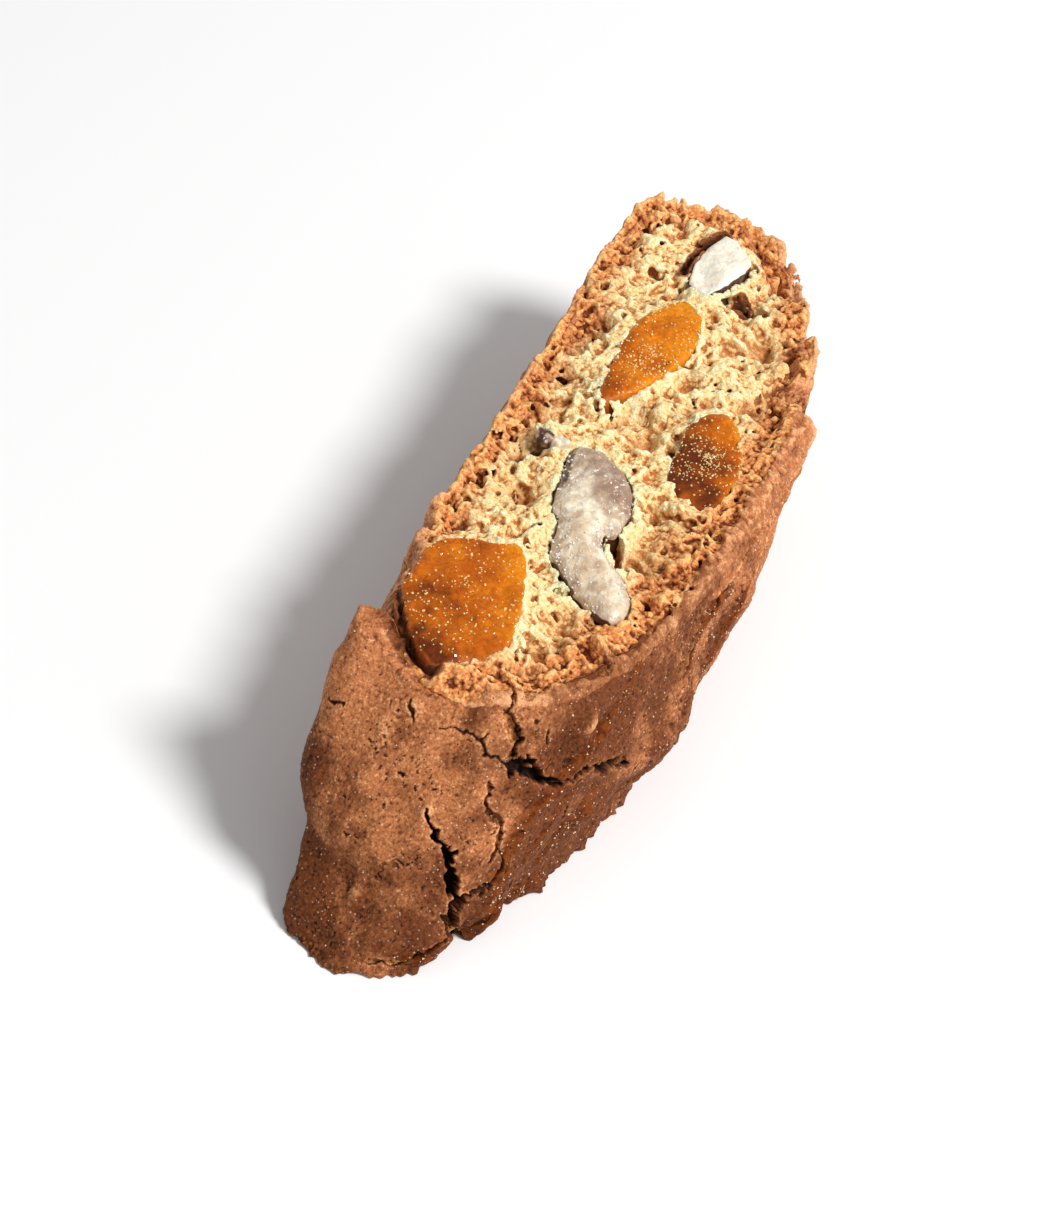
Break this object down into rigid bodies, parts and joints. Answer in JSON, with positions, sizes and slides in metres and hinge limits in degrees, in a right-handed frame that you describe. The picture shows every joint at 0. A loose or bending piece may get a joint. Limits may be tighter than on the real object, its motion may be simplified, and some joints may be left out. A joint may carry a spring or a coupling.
{
  "type": "biscotti slice",
  "caption": "Slanting slice of a twice-baked loaf, with crisp crust, open golden crumb, candied orange fruit and nuts, lying on its back cut face.",
  "frame": {"origin": "middle of the underside of the slice's box, on the floor it lies on", "axes": "+X along the slice towards its far end, the end where the slanting cut reaches furthest at the top; +Y towards the flat base of the loaf; +Z out of the shown cut face, up"},
  "size_m": [0.091, 0.029, 0.0221],
  "materials": {
    "biscuit": "matte dry crumb inside a matte toasted crust",
    "candied_fruit": "glossy, slightly clear, with sugar grains",
    "nut": "satin cream kernel with a brown skin edge"
  },
  "bodies": {
    "root": {"biscuit": "biscuit", "fruit_large": "candied_fruit", "fruit_upper": "candied_fruit", "fruit_right": "candied_fruit", "nut_kernel": "nut", "nut_chip": "nut"}
  },
  "joints": []
}
